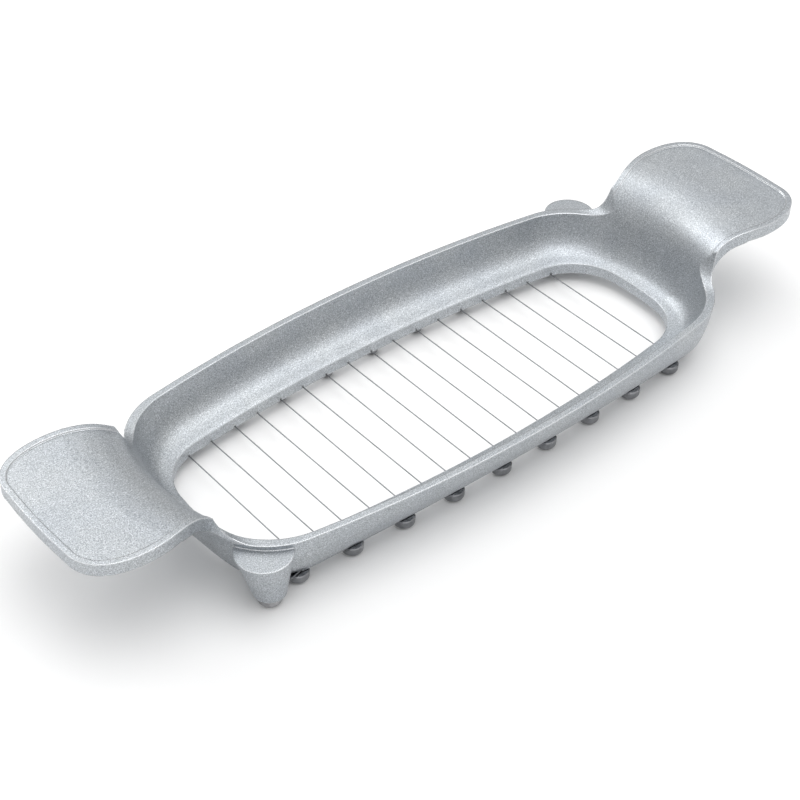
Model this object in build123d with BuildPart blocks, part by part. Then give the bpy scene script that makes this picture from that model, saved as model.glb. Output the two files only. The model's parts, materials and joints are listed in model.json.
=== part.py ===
"""Two-handled wire slicer: a cast dish with a long opening, crossed underneath by one taut
steel wire that is laced to and fro between two rows of studs and clamped at both ends.

Frame: millimetres, +X along the handles, +Y across, +Z up. The origin is the middle of the
footprint, on the surface that the studs and clamp screws stand on.
"""

import math
import os

from build123d import *

os.makedirs("parts", exist_ok=True)

# ---------------------------------------------------------------- driving dimensions (mm)
wire_count = 17
wire_pitch = 9.5
wire_d = 0.4
wire_z = 3.8

stud_count = 9
stud_y = 35.3
stud_row_bow = 1300.0
stud_offset = 1.85
stud_stem_d = 2.2
near_head_d = 6.8
far_head_d = 4.6
head_side_z = 1.4
stud_head_top = 3.3

flange_z = 3.5
pocket_z = 4.05
lug_z = 4.0
rim_z = 20.8
plate_z = 34.6
bead_rise = 0.5
bead_z = plate_z + bead_rise
plate_under_z = 31.0

handle_tip = 141.8
bead_w = 1.9

clamp_x = 90.5
clamp_y = 35.2
lug_foot_r = 5.0
lug_top_x = 91.2
lug_top_y = 34.2
lug_top_r = 8.6
lug_top_z = 19.0
clamp_head_d = 7.4
washer_d = 8.0
clamp_shank_d = 3.0
clamp_foot_d = 4.6
clamp_root_z = 11.5
washer_z = 2.9

stud_root_z = 6.6

notch_w = 0.8
notch_l = 1.8
notch_h = 0.9
notch_bend_r = 0.8
notch_turn = 0.6
bend_in = 1.0
pocket_r = 1.6
tail_pocket_r = 2.2
lean_x = 0.13
joint_gap = 0.62

# Side of a handle in plan: out of the rim's corner, through the neck, round to the tip
handle_side = [
    (89.0, 38.5), (92.2, 34.5), (94.9, 30.3), (97.4, 26.7), (100.6, 24.8), (105.5, 25.3), (112.1, 27.2),
    (118.0, 28.5), (123.5, 28.8), (129.5, 28.1), (134.5, 26.3), (138.3, 23.4), (140.5, 19.8), (141.2, 15.6),
]
# Crest of the neck's edge: distance along X and height, out of the level rim up to the handle
neck_crest = [(92.5, rim_z), (94.6, 21.05), (96.9, 22.3), (98.9, 25.2), (100.5, 29.0), (101.6, 33.0)]
# Outer skin, from the bottom edge to the underside of the handles:
# height, half length, half width, corner radius, end bow radius, side bow radius
outer_levels = [
    (flange_z, 94.5, 37.0, 17.0, 150.0, 1470.0),
    (6.6, 96.3, 39.4, 19.0, 140.0, 1250.0),
    (9.5, 97.9, 41.6, 21.0, 130.0, 1050.0),
    (12.5, 99.2, 43.3, 22.5, 120.0, 850.0),
    (16.2, 100.8, 45.0, 24.0, 110.0, 700.0),
    (rim_z, 102.6, 46.2, 25.5, 104.0, 600.0),
    (24.7, 105.3, 47.5, 26.0, 104.0, 590.0),
    (27.6, 108.6, 49.0, 26.0, 104.0, 590.0),
    (29.8, 113.0, 50.5, 26.0, 104.0, 590.0),
    (plate_under_z, 118.5, 53.0, 26.0, 104.0, 590.0),
]
# Inner skin, from the lip of the opening up over the shoulders of the handles
inner_levels = [
    (7.4, 90.4, 31.4, 19.0, 160.0, 590.0),
    (8.4, 93.0, 35.2, 21.0, 145.0, 590.0),
    (9.9, 94.8, 38.6, 23.0, 130.0, 590.0),
    (12.8, 96.7, 41.2, 24.0, 118.0, 590.0),
    (16.6, 98.4, 43.0, 25.0, 108.0, 590.0),
    (rim_z, 99.9, 44.0, 25.5, 104.0, 590.0),
    (26.0, 102.3, 45.2, 26.0, 104.0, 590.0),
    (29.6, 105.2, 46.4, 26.0, 104.0, 590.0),
    (32.3, 109.2, 47.8, 26.0, 104.0, 590.0),
    (33.75, 113.4, 49.4, 26.0, 104.0, 590.0),
    (34.35, 117.4, 51.2, 26.0, 104.0, 590.0),
    (34.58, 121.4, 53.0, 26.0, 104.0, 590.0),
    (34.7, 125.4, 54.8, 26.0, 104.0, 590.0),
]


def bowed_rectangle(half_l, half_w, corner_r, end_r, side_r):
    """Face of a rectangle whose four sides bow outwards and whose corners are rounded."""
    corner_x = half_l - half_w**2 / (2 * end_r)
    corner_y = half_w - half_l**2 / (2 * side_r)
    with BuildSketch(mode=Mode.PRIVATE) as face:
        with BuildLine():
            ThreePointArc((-corner_x, -corner_y), (0, -half_w), (corner_x, -corner_y))
            ThreePointArc((corner_x, -corner_y), (half_l, 0), (corner_x, corner_y))
            ThreePointArc((corner_x, corner_y), (0, half_w), (-corner_x, corner_y))
            ThreePointArc((-corner_x, corner_y), (-half_l, 0), (-corner_x, -corner_y))
        make_face()
        fillet(face.vertices(), corner_r)
    return face.sketch


def stacked_levels(levels):
    """Smooth solid through the bowed rectangles listed by height."""
    with BuildPart(mode=Mode.PRIVATE) as body:
        for z, half_l, half_w, corner_r, end_r, side_r in levels:
            with BuildSketch(Plane.XY.offset(z)):
                add(bowed_rectangle(half_l, half_w, corner_r, end_r, side_r))
        loft()
    return body.part


def both_handles(root_x, side_points, tip_x):
    """Plan of both handles: each side follows its points, and a bowed tip joins the two sides."""
    with BuildSketch(mode=Mode.PRIVATE) as face:
        with BuildLine():
            flank = Spline(*side_points)
            ThreePointArc(flank @ 1, (tip_x, 0), ((flank @ 1).X, -(flank @ 1).Y))
            mirror(flank, about=Plane.XZ)
            start = flank @ 0
            Polyline((start.X, start.Y), (root_x, start.Y), (root_x, -start.Y), (start.X, -start.Y))
        make_face()
        mirror(about=Plane.YZ)
    return face.sketch


def set_in(points, distance):
    """The points moved sideways, towards the handle's middle, by a distance."""
    moved = []
    for number, (x, y) in enumerate(points):
        before = points[max(number - 1, 0)]
        after = points[min(number + 1, len(points) - 1)]
        run_x = after[0] - before[0]
        run_y = after[1] - before[1]
        share = distance / math.hypot(run_x, run_y)
        moved.append((x + share * run_y, y - share * run_x))
    return moved


# ---------------------------------------------------------------- derived positions
half_turns = (1, -1)
wire_xs = [wire_pitch * (i - (wire_count - 1) / 2) for i in range(wire_count)]
stud_xs = [wire_pitch * (2 * k - stud_count + 0.5) + stud_offset for k in range(stud_count)]
near_studs = [Vector(x, -stud_y + x**2 / (2 * stud_row_bow)) for x in stud_xs]


def opening_edge(x):
    """Half width of the opening where it crosses a given x."""
    _, half_l, half_w, corner_r, end_r, side_r = inner_levels[0]
    side = half_w - x**2 / (2 * side_r)
    into_corner = abs(x) - (half_l - corner_r - 1.0)
    if into_corner <= 0:
        return side
    return side - corner_r + math.sqrt(corner_r**2 - into_corner**2)


far_studs = [Vector(-at.X, -at.Y) for at in near_studs]
# Odd wires lean one way and even wires the other, because each pair closes in on its stud
wire_leans = [lean_x if i % 2 == 0 else -lean_x for i in range(wire_count)]


def tangent_line(start, centre, radius, turn):
    """Point and direction of the line from start that grazes a circle, on its left for turn 1."""
    to_centre = centre - start
    swing = math.degrees(math.asin(radius / to_centre.length))
    return to_centre.normalized().rotate(Axis.Z, turn * swing)


def meeting_point(a, a_dir, b, b_dir):
    """Where two lines in the XY plane cross."""
    det = a_dir.X * b_dir.Y - a_dir.Y * b_dir.X
    along = ((b.X - a.X) * b_dir.Y - (b.Y - a.Y) * b_dir.X) / det
    return a + a_dir * along


def at_wire_height(point, half_turn):
    """A point of the near lacing, or of its half-turn twin on the far side, at wire height."""
    return Vector(half_turn * point.X, half_turn * point.Y, wire_z)


def bend_point(i):
    """Where wire i leaves the straight at the near edge of the opening."""
    x = wire_xs[i]
    return Vector(x - wire_leans[i], -opening_edge(x) - bend_in)


wrap_r = (stud_stem_d + wire_d) / 2
clamp_wrap_r = (clamp_shank_d + wire_d) / 2
exit_up = Vector(0, notch_turn)
lacing_routes = []
lacing_pockets = []
for k in range(1, stud_count):
    left = bend_point(2 * k - 1)
    right = bend_point(2 * k)
    left_dir = tangent_line(left, near_studs[k], wrap_r, -1)
    right_dir = tangent_line(right, near_studs[k], wrap_r, 1)
    apex = meeting_point(left, left_dir, right, right_dir)
    points = [left + exit_up, left, apex, right, right + exit_up]
    radii = [notch_bend_r, wrap_r, notch_bend_r]
    for turn in half_turns:
        lacing_routes.append(([at_wire_height(p, turn) for p in points], radii))
        lacing_pockets.append([
            (at_wire_height(near_studs[k], turn), pocket_r),
            (at_wire_height(left, turn), 0.5),
            (at_wire_height(right, turn), 0.5),
        ])

# Each end of the wire passes the first stud and goes round the shank of its clamp screw
first = near_studs[0]
clamp = Vector(-clamp_x, -clamp_y)
start = bend_point(0)
start_dir = tangent_line(start, first, wrap_r, 1)
between = clamp - first
outer_swing = math.degrees(math.asin((clamp_wrap_r - wrap_r) / between.length))
outer_dir = between.normalized().rotate(Axis.Z, outer_swing)
outward = outer_dir.rotate(Axis.Z, 90)
graze = first + outward * wrap_r
apex = meeting_point(start, start_dir, graze, outer_dir)
corner_1 = clamp + outward * clamp_wrap_r + outer_dir * clamp_wrap_r
corner_2 = clamp - outward * clamp_wrap_r + outer_dir * clamp_wrap_r
tail_end = clamp - outward * clamp_wrap_r - outer_dir * 1.0
points = [start + exit_up, start, apex, corner_1, corner_2, tail_end]
radii = [notch_bend_r, wrap_r, clamp_wrap_r - 0.01, clamp_wrap_r - 0.01]
for turn in half_turns:
    lacing_routes.append(([at_wire_height(p, turn) for p in points], radii))
    first_round = (at_wire_height(first, turn), pocket_r)
    lacing_pockets.append([first_round, (at_wire_height(start, turn), 0.5)])
    lacing_pockets.append([first_round, (at_wire_height(clamp, turn), tail_pocket_r)])

# ---------------------------------------------------------------- tool bodies of the casting
dish = stacked_levels(inner_levels)

# The hollow inside the bead: all of the dish below the rim, and above it only what the bead frames
with BuildPart() as hollow:
    with BuildSketch():
        Rectangle(240, 110)
    extrude(amount=rim_z)
    with BuildSketch(Plane.XY.offset(rim_z)):
        add(both_handles(80.0, set_in(handle_side, bead_w), handle_tip - bead_w))
    extrude(amount=20.0)
    add(dish, mode=Mode.INTERSECT)

with BuildPart() as envelope:
    with BuildSketch(Plane.XY.offset(flange_z)):
        Rectangle(240, 110)
    extrude(amount=rim_z - flange_z)
    with BuildSketch(Plane.XY.offset(rim_z)):
        add(both_handles(80.0, handle_side, handle_tip))
    extrude(amount=plate_under_z - rim_z)
    add(stacked_levels(outer_levels), mode=Mode.INTERSECT)

# ---------------------------------------------------------------- tray frame
with BuildPart() as tray_frame:
    add(envelope.part)
    with BuildSketch(Plane.XY.offset(plate_under_z)):
        add(both_handles(80.0, handle_side, handle_tip))
    extrude(amount=bead_z - plate_under_z)
    with BuildSketch(Plane.XZ):
        with BuildLine():
            Spline(*neck_crest, tangents=((1, 0), (0.25, 1)))
            Polyline(neck_crest[-1], (neck_crest[-1][0], 45.0), (70.0, 45.0), (70.0, rim_z), neck_crest[0])
        make_face()
        mirror(about=Plane.YZ)
    extrude(amount=70.0, both=True, mode=Mode.SUBTRACT)
    for side in half_turns:
        with BuildSketch(Plane.XY.offset(lug_z)):
            with Locations((side * clamp_x, side * clamp_y)):
                Circle(lug_foot_r)
        with BuildSketch(Plane.XY.offset(lug_top_z)):
            with Locations((side * lug_top_x, side * lug_top_y)):
                Circle(lug_top_r)
        loft()
    add(hollow.part, mode=Mode.SUBTRACT)
    add(dish.moved(Location((0, 0, bead_rise))), mode=Mode.SUBTRACT)
    with BuildSketch(Plane.XY.offset(plate_z)):
        add(both_handles(80.0, set_in(handle_side, bead_w), handle_tip - bead_w))
    extrude(amount=4.0, mode=Mode.SUBTRACT)
    with BuildSketch(Plane.XY.offset(flange_z - 1.0)):
        add(bowed_rectangle(*inner_levels[0][1:]))
    extrude(amount=8.0, mode=Mode.SUBTRACT)
    with BuildSketch(Plane.XY.offset(flange_z)):
        for x, lean in zip(wire_xs, wire_leans):
            for side in half_turns:
                with Locations((x + side * lean, side * (opening_edge(x) - 0.6 + notch_l / 2))):
                    Rectangle(notch_w, notch_l + 1.2)
    extrude(amount=notch_h, mode=Mode.SUBTRACT)
    for pocket in lacing_pockets:
        with BuildSketch(Plane.XY.offset(flange_z)):
            for point, radius in pocket:
                with Locations((point.X, point.Y)):
                    Circle(radius)
            make_hull()
        extrude(amount=pocket_z - flange_z, mode=Mode.SUBTRACT)
    with BuildSketch(Plane.XY.offset(flange_z)):
        with Locations(*[(p.X, p.Y) for p in near_studs + far_studs]):
            Circle(stud_stem_d / 2)
    extrude(amount=stud_root_z - flange_z, mode=Mode.SUBTRACT)
    with BuildSketch(Plane.XY.offset(flange_z)):
        with Locations(*[(side * clamp_x, side * clamp_y) for side in half_turns]):
            Circle(washer_d / 2 + 0.3)
    extrude(amount=lug_z - flange_z, mode=Mode.SUBTRACT)
    with BuildSketch(Plane.XY.offset(flange_z)):
        with Locations(*[(side * clamp_x, side * clamp_y) for side in half_turns]):
            Circle(clamp_shank_d / 2)
    extrude(amount=clamp_root_z - flange_z, mode=Mode.SUBTRACT)
tray_frame.part.label = "tray_frame"
export_step(tray_frame.part, "parts/tray_frame.step")

# ---------------------------------------------------------------- lacing studs
for row, studs, head_r in (("near", near_studs, near_head_d / 2), ("far", far_studs, far_head_d / 2)):
    for number, at in enumerate(studs, start=1):
        with BuildPart() as stud:
            with BuildSketch(Plane((at.X, at.Y, 0), x_dir=(1, 0, 0), z_dir=(0, -1, 0))):
                with BuildLine():
                    Polyline((0, 0), (0.6 * head_r, 0))
                    ThreePointArc((0.6 * head_r, 0), (0.88 * head_r, 0.45), (head_r, head_side_z))
                    Polyline(
                        (head_r, head_side_z), (head_r, stud_head_top - 0.3), (head_r - 0.3, stud_head_top),
                        (stud_stem_d / 2, stud_head_top), (stud_stem_d / 2, stud_root_z),
                        (0, stud_root_z), (0, 0),
                    )
                make_face()
            revolve(axis=Axis((at.X, at.Y, 0), (0, 0, 1)))
        stud.part.label = f"{row}_lacing_stud_{number}"
        export_step(stud.part, f"parts/{row}_lacing_stud_{number}.step")

# ---------------------------------------------------------------- wire clamps
for row, side in (("near", -1), ("far", 1)):
    at = Vector(side * clamp_x, side * clamp_y)
    with BuildPart() as clamp_washer:
        with BuildSketch(Plane.XY.offset(washer_z)):
            with Locations((at.X, at.Y)):
                Circle(washer_d / 2)
                Circle(clamp_shank_d / 2, mode=Mode.SUBTRACT)
        extrude(amount=wire_z - wire_d / 2 - washer_z)
    clamp_washer.part.label = f"{row}_clamp_washer"
    export_step(clamp_washer.part, f"parts/{row}_clamp_washer.step")

    with BuildPart() as clamp_screw:
        with BuildSketch(Plane((at.X, at.Y, 0), x_dir=(1, 0, 0), z_dir=(0, -1, 0))):
            with BuildLine():
                Polyline((0, 0), (clamp_foot_d / 2, 0))
                ThreePointArc((clamp_foot_d / 2, 0), (3.25, 0.45), (clamp_head_d / 2, 1.4))
                Polyline(
                    (clamp_head_d / 2, 1.4), (clamp_head_d / 2, washer_z), (clamp_shank_d / 2, washer_z),
                    (clamp_shank_d / 2, clamp_root_z), (0, clamp_root_z), (0, 0),
                )
            make_face()
        revolve(axis=Axis((at.X, at.Y, 0), (0, 0, 1)))
        with BuildSketch(Plane.XY):
            with Locations((at.X, at.Y)):
                Rectangle(3.6, 0.9, rotation=25)
                Rectangle(0.9, 3.6, rotation=25)
        extrude(amount=1.3, mode=Mode.SUBTRACT)
    clamp_screw.part.label = f"{row}_clamp_screw"
    export_step(clamp_screw.part, f"parts/{row}_clamp_screw.step")

# ---------------------------------------------------------------- cutting wire
with BuildPart() as cutting_wire:
    for x, lean in zip(wire_xs, wire_leans):
        far_end = Vector(x + lean, opening_edge(x) + bend_in - joint_gap, wire_z)
        near_end = Vector(x - lean, -opening_edge(x) - bend_in + joint_gap, wire_z)
        with BuildSketch(Plane(near_end, z_dir=far_end - near_end)):
            Circle(wire_d / 2)
        extrude(amount=(far_end - near_end).length)
    for route in lacing_routes:
        with BuildLine() as path:
            FilletPolyline(*route[0], radius=route[1])
        with BuildSketch(Plane(path.wire() @ 0, z_dir=path.wire() % 0)):
            Circle(wire_d / 2)
        sweep(path=path.wire())
cutting_wire.part.label = "cutting_wire"
export_step(cutting_wire.part, "parts/cutting_wire.step")
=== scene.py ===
"""Looks of the two-handled wire slicer: a satin casting, polished studs and a taut dark wire."""
import json
import math

import bpy
from mathutils import Matrix, Vector


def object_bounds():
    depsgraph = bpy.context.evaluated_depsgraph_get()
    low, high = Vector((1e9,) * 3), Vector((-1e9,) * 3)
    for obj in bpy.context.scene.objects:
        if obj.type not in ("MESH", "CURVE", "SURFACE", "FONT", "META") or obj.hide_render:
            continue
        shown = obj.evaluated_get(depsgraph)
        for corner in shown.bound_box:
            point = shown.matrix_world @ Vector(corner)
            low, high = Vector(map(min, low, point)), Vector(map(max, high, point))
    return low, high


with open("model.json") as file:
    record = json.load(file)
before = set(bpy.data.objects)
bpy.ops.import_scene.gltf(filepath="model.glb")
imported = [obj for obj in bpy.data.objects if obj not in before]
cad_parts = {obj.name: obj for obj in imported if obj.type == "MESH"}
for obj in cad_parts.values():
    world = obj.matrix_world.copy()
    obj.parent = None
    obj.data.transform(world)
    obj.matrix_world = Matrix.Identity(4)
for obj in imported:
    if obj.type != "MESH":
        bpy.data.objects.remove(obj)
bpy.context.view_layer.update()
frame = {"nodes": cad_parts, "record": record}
nodes = frame["nodes"]

# ---------------------------------------------------------------- numbers (metres, degrees, watts)
CAMERA_AZIMUTH = -40.24
CAMERA_ELEVATION = 39.83
CAMERA_ROLL = 0.98
CAMERA_DISTANCE = 0.5597
CAMERA_AIM = (-0.00845, 0.00646, 0.0038)
CAMERA_CLIP = 0.01
LENS_MM = 79.12
SENSOR_MM = 36.0

# Sizes of the features on the metals
GRAIN = 0.00034
CLOUD = 0.018
RUB = 0.006
HAZE = 0.0022
TURNING_LINE = 0.0006
STREAK = 0.0008
EDGE_RADIUS = 0.0006
EDGE_SAMPLES = 6

# Cosine between true and rounded normal where the lighter edge starts, and where it is full; the lighter
# edge is partly wear and partly a painted highlight
WEAR_AND_HIGHLIGHT_STARTS = 0.985
WEAR_AND_HIGHLIGHT_FULL = 0.90
# Most of a noise's values lie between these two
NOISE_LOW = 0.3
NOISE_HIGH = 0.7

FLOOR_REACH = 3.0
FLOOR_GAP = 0.0002
FLOOR_GREY = 0.90

KEY_POWER = 5.5
BACK_POWER = 4.5
SKY_STRENGTH = 1.1
# Grey of the sky by the height of the direction, from the horizon up
SKY_GREYS = [(0.0, 0.32), (0.35, 0.60), (0.85, 1.0)]


# ---------------------------------------------------------------- node helpers
def new_material(name):
    material = bpy.data.materials.new(name)
    material.use_nodes = True
    tree = material.node_tree
    shader = tree.nodes["Principled BSDF"]
    return material, tree, shader


def place(tree):
    """Object-space position, in metres."""
    return tree.nodes.new("ShaderNodeTexCoord").outputs["Object"]


def noise(tree, size, detail=2.0, roughness=0.5, stretch=None):
    """Noise whose features are about size metres across."""
    source = place(tree)
    if stretch:
        mapping = tree.nodes.new("ShaderNodeMapping")
        mapping.inputs["Scale"].default_value = stretch
        tree.links.new(source, mapping.inputs["Vector"])
        source = mapping.outputs["Vector"]
    node = tree.nodes.new("ShaderNodeTexNoise")
    node.inputs["Scale"].default_value = 1.0 / size
    node.inputs["Detail"].default_value = detail
    node.inputs["Roughness"].default_value = roughness
    tree.links.new(source, node.inputs["Vector"])
    return node.outputs["Fac"]


def ramp(tree, factor, stops):
    """Colour ramp over (position, colour) stops."""
    node = tree.nodes.new("ShaderNodeValToRGB")
    elements = node.color_ramp.elements
    while len(elements) < len(stops):
        elements.new(0.5)
    for element, (position, colour) in zip(elements, stops):
        element.position = position
        element.color = (*colour, 1.0)
    tree.links.new(factor, node.inputs["Fac"])
    return node.outputs["Color"]


def mix(tree, factor, a, b, blend="MIX"):
    """Colours a and b mixed by factor. Each may be a constant or a node's output."""
    node = tree.nodes.new("ShaderNodeMix")
    node.data_type = "RGBA"
    node.blend_type = blend
    for socket, value in ((node.inputs[0], factor), (node.inputs[6], a), (node.inputs[7], b)):
        if isinstance(value, (int, float)):
            socket.default_value = value
        elif isinstance(value, tuple):
            socket.default_value = (*value, 1.0)
        else:
            tree.links.new(value, socket)
    return node.outputs[2]


def spread(tree, factor, low, high):
    """Noise carried to the range from low to high."""
    node = tree.nodes.new("ShaderNodeMapRange")
    node.inputs["From Min"].default_value = NOISE_LOW
    node.inputs["From Max"].default_value = NOISE_HIGH
    node.inputs["To Min"].default_value = low
    node.inputs["To Max"].default_value = high
    tree.links.new(factor, node.inputs["Value"])
    return node.outputs["Result"]


def round_edges(tree):
    """Normals that roll over the edges, as a cast or tumbled edge does."""
    node = tree.nodes.new("ShaderNodeBevel")
    node.samples = EDGE_SAMPLES
    node.inputs["Radius"].default_value = EDGE_RADIUS
    return node.outputs["Normal"]


def edge_wear_and_highlight(tree, rounded):
    """1 on the edges and 0 on the faces, from how far the rounded normal leans off the true one; it masks
    the edge wear and the painted edge highlight.
    """
    true_normal = tree.nodes.new("ShaderNodeNewGeometry").outputs["Normal"]
    lean = tree.nodes.new("ShaderNodeVectorMath")
    lean.operation = "DOT_PRODUCT"
    tree.links.new(true_normal, lean.inputs[0])
    tree.links.new(rounded, lean.inputs[1])
    node = tree.nodes.new("ShaderNodeMapRange")
    node.inputs["From Min"].default_value = WEAR_AND_HIGHLIGHT_STARTS
    node.inputs["From Max"].default_value = WEAR_AND_HIGHLIGHT_FULL
    tree.links.new(lean.outputs["Value"], node.inputs["Value"])
    return node.outputs["Result"]


def bump(tree, height, strength, distance, before=None):
    """Normals bumped by a height, on top of the normals before it if there are any."""
    node = tree.nodes.new("ShaderNodeBump")
    node.inputs["Strength"].default_value = strength
    node.inputs["Distance"].default_value = distance
    tree.links.new(height, node.inputs["Height"])
    if before is not None:
        tree.links.new(before, node.inputs["Normal"])
    return node.outputs["Normal"]


# ---------------------------------------------------------------- materials
def cast_metal():
    """Bluish silver casting: shot-blasted sparkle, soft clouds, rubbed patches and lighter edges that are
    partly wear and partly a painted highlight.
    """
    material, tree, shader = new_material("cast_metal")
    link = tree.links.new
    sparkle = noise(tree, GRAIN, detail=3.0, roughness=0.7)
    clouds = noise(tree, CLOUD, detail=3.0)
    rubbed = noise(tree, RUB, detail=4.0, roughness=0.6)
    rounded = round_edges(tree)
    wear_and_highlight = edge_wear_and_highlight(tree, rounded)
    grain_colour = ramp(tree, sparkle, [
        (0.33, (0.25, 0.264, 0.277)), (0.51, (0.45, 0.474, 0.494)), (0.69, (0.77, 0.795, 0.815)),
    ])
    cloud_colour = ramp(tree, clouds, [(0.35, (0.93, 0.94, 0.96)), (0.65, (1.0, 1.0, 1.0))])
    body_colour = mix(tree, 1.0, grain_colour, cloud_colour, "MULTIPLY")
    # Lighter edge colour: partly polish and wear, partly a painted highlight
    link(mix(tree, wear_and_highlight, body_colour, (0.80, 0.82, 0.84)), shader.inputs["Base Color"])
    shader.inputs["Metallic"].default_value = 0.9
    roughness = mix(tree, wear_and_highlight, spread(tree, rubbed, 0.36, 0.46), (0.20, 0.20, 0.20))
    link(roughness, shader.inputs["Roughness"])
    fine = bump(tree, sparkle, 0.35, 0.0001, rounded)
    link(bump(tree, rubbed, 0.12, 0.0003, fine), shader.inputs["Normal"])
    return material


def polished_steel(name, dark, light, roughness):
    """Turned and polished steel: fine lines round the axis and a handling haze."""
    material, tree, shader = new_material(name)
    link = tree.links.new
    haze = noise(tree, HAZE, detail=3.0)
    lines = noise(tree, TURNING_LINE, detail=2.0, stretch=(1.0, 1.0, 9.0))
    link(ramp(tree, haze, [(NOISE_LOW, dark), (NOISE_HIGH, light)]), shader.inputs["Base Color"])
    shader.inputs["Metallic"].default_value = 1.0
    link(spread(tree, haze, roughness, roughness + 0.12), shader.inputs["Roughness"])
    link(bump(tree, lines, 0.12, 0.00004), shader.inputs["Normal"])
    return material


def drawn_wire():
    """Drawn steel wire: darker, with fine streaks along the strands."""
    material, tree, shader = new_material("drawn_wire")
    link = tree.links.new
    streaks = noise(tree, STREAK, detail=2.0, stretch=(4.0, 0.25, 4.0))
    colour = ramp(tree, streaks, [(NOISE_LOW, (0.20, 0.205, 0.215)), (NOISE_HIGH, (0.34, 0.345, 0.36))])
    link(colour, shader.inputs["Base Color"])
    shader.inputs["Metallic"].default_value = 1.0
    link(spread(tree, streaks, 0.28, 0.42), shader.inputs["Roughness"])
    link(bump(tree, streaks, 0.1, 0.00003), shader.inputs["Normal"])
    return material


finishes = {
    "casting": cast_metal(),
    "stud": polished_steel("stud_steel", (0.20, 0.205, 0.215), (0.34, 0.345, 0.36), 0.16),
    "screw": polished_steel("screw_steel", (0.34, 0.34, 0.35), (0.50, 0.50, 0.51), 0.22),
    "washer": polished_steel("washer_steel", (0.30, 0.30, 0.31), (0.44, 0.44, 0.45), 0.30),
    "wire": drawn_wire(),
}
for entry in frame["record"]["subparts"]:
    piece = nodes[entry["node"]]
    piece.data.materials.clear()
    piece.data.materials.append(finishes[entry["material_slot"]])


# ---------------------------------------------------------------- floor
def paper():
    """Plain pale matt paper."""
    material, _, shader = new_material("paper")
    shader.inputs["Base Color"].default_value = (FLOOR_GREY, FLOOR_GREY, FLOOR_GREY, 1.0)
    shader.inputs["Roughness"].default_value = 0.9
    shader.inputs["Specular IOR Level"].default_value = 0.1
    return material


low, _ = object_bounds()
corners = [(-FLOOR_REACH, -FLOOR_REACH, 0), (FLOOR_REACH, -FLOOR_REACH, 0)]
corners += [(FLOOR_REACH, FLOOR_REACH, 0), (-FLOOR_REACH, FLOOR_REACH, 0)]
floor_mesh = bpy.data.meshes.new("floor")
floor_mesh.from_pydata(corners, [], [(0, 1, 2, 3)])
floor = bpy.data.objects.new("floor", floor_mesh)
floor.location.z = low.z - FLOOR_GAP
floor.data.materials.append(paper())
bpy.context.scene.collection.objects.link(floor)


# ---------------------------------------------------------------- light
def area_light(name, place_at, aim_at, size, power):
    """White softbox that faces a point."""
    data = bpy.data.lights.new(name, "AREA")
    data.shape = "RECTANGLE"
    data.size, data.size_y = size
    data.energy = power
    lamp = bpy.data.objects.new(name, data)
    lamp.location = place_at
    lamp.rotation_euler = (Vector(aim_at) - Vector(place_at)).to_track_quat("-Z", "Y").to_euler()
    bpy.context.scene.collection.objects.link(lamp)


def studio_world():
    """Even studio surroundings: grey at the horizon and white overhead."""
    world = bpy.data.worlds.new("studio")
    world.use_nodes = True
    tree = world.node_tree
    direction = tree.nodes.new("ShaderNodeTexCoord").outputs["Generated"]
    parts = tree.nodes.new("ShaderNodeSeparateXYZ")
    tree.links.new(direction, parts.inputs["Vector"])
    sky = ramp(tree, parts.outputs["Z"], [(height, (grey, grey, grey)) for height, grey in SKY_GREYS])
    background = tree.nodes["Background"]
    tree.links.new(sky, background.inputs["Color"])
    background.inputs["Strength"].default_value = SKY_STRENGTH
    return world


area_light("key_top", (0.15, -0.1, 1.2), (0, 0, 0.01), (1.4, 1.0), KEY_POWER)
area_light("back_left", (-0.2, 1.1, 0.9), (-0.05, 0, 0.01), (1.0, 0.5), BACK_POWER)
bpy.context.scene.world = studio_world()
bpy.context.scene.view_settings.view_transform = "Standard"


# ---------------------------------------------------------------- camera
def camera_pose():
    """Placement from the camera's azimuth, elevation, roll, distance and aim."""
    azimuth = math.radians(CAMERA_AZIMUTH)
    elevation = math.radians(CAMERA_ELEVATION)
    level = math.cos(elevation)
    back = Vector((math.sin(azimuth) * level, -math.cos(azimuth) * level, math.sin(elevation)))
    right = Vector((0, 0, 1)).cross(back).normalized()
    right = Matrix.Rotation(math.radians(CAMERA_ROLL), 3, back) @ right
    turn = Matrix((right, back.cross(right), back)).transposed().to_4x4()
    return Matrix.Translation(Vector(CAMERA_AIM) + back * CAMERA_DISTANCE) @ turn


camera_data = bpy.data.cameras.new("camera")
camera_data.sensor_width = SENSOR_MM
camera_data.lens = LENS_MM
camera_data.clip_start = CAMERA_CLIP
camera = bpy.data.objects.new("camera", camera_data)
camera.matrix_world = camera_pose()
bpy.context.scene.collection.objects.link(camera)
bpy.context.scene.camera = camera
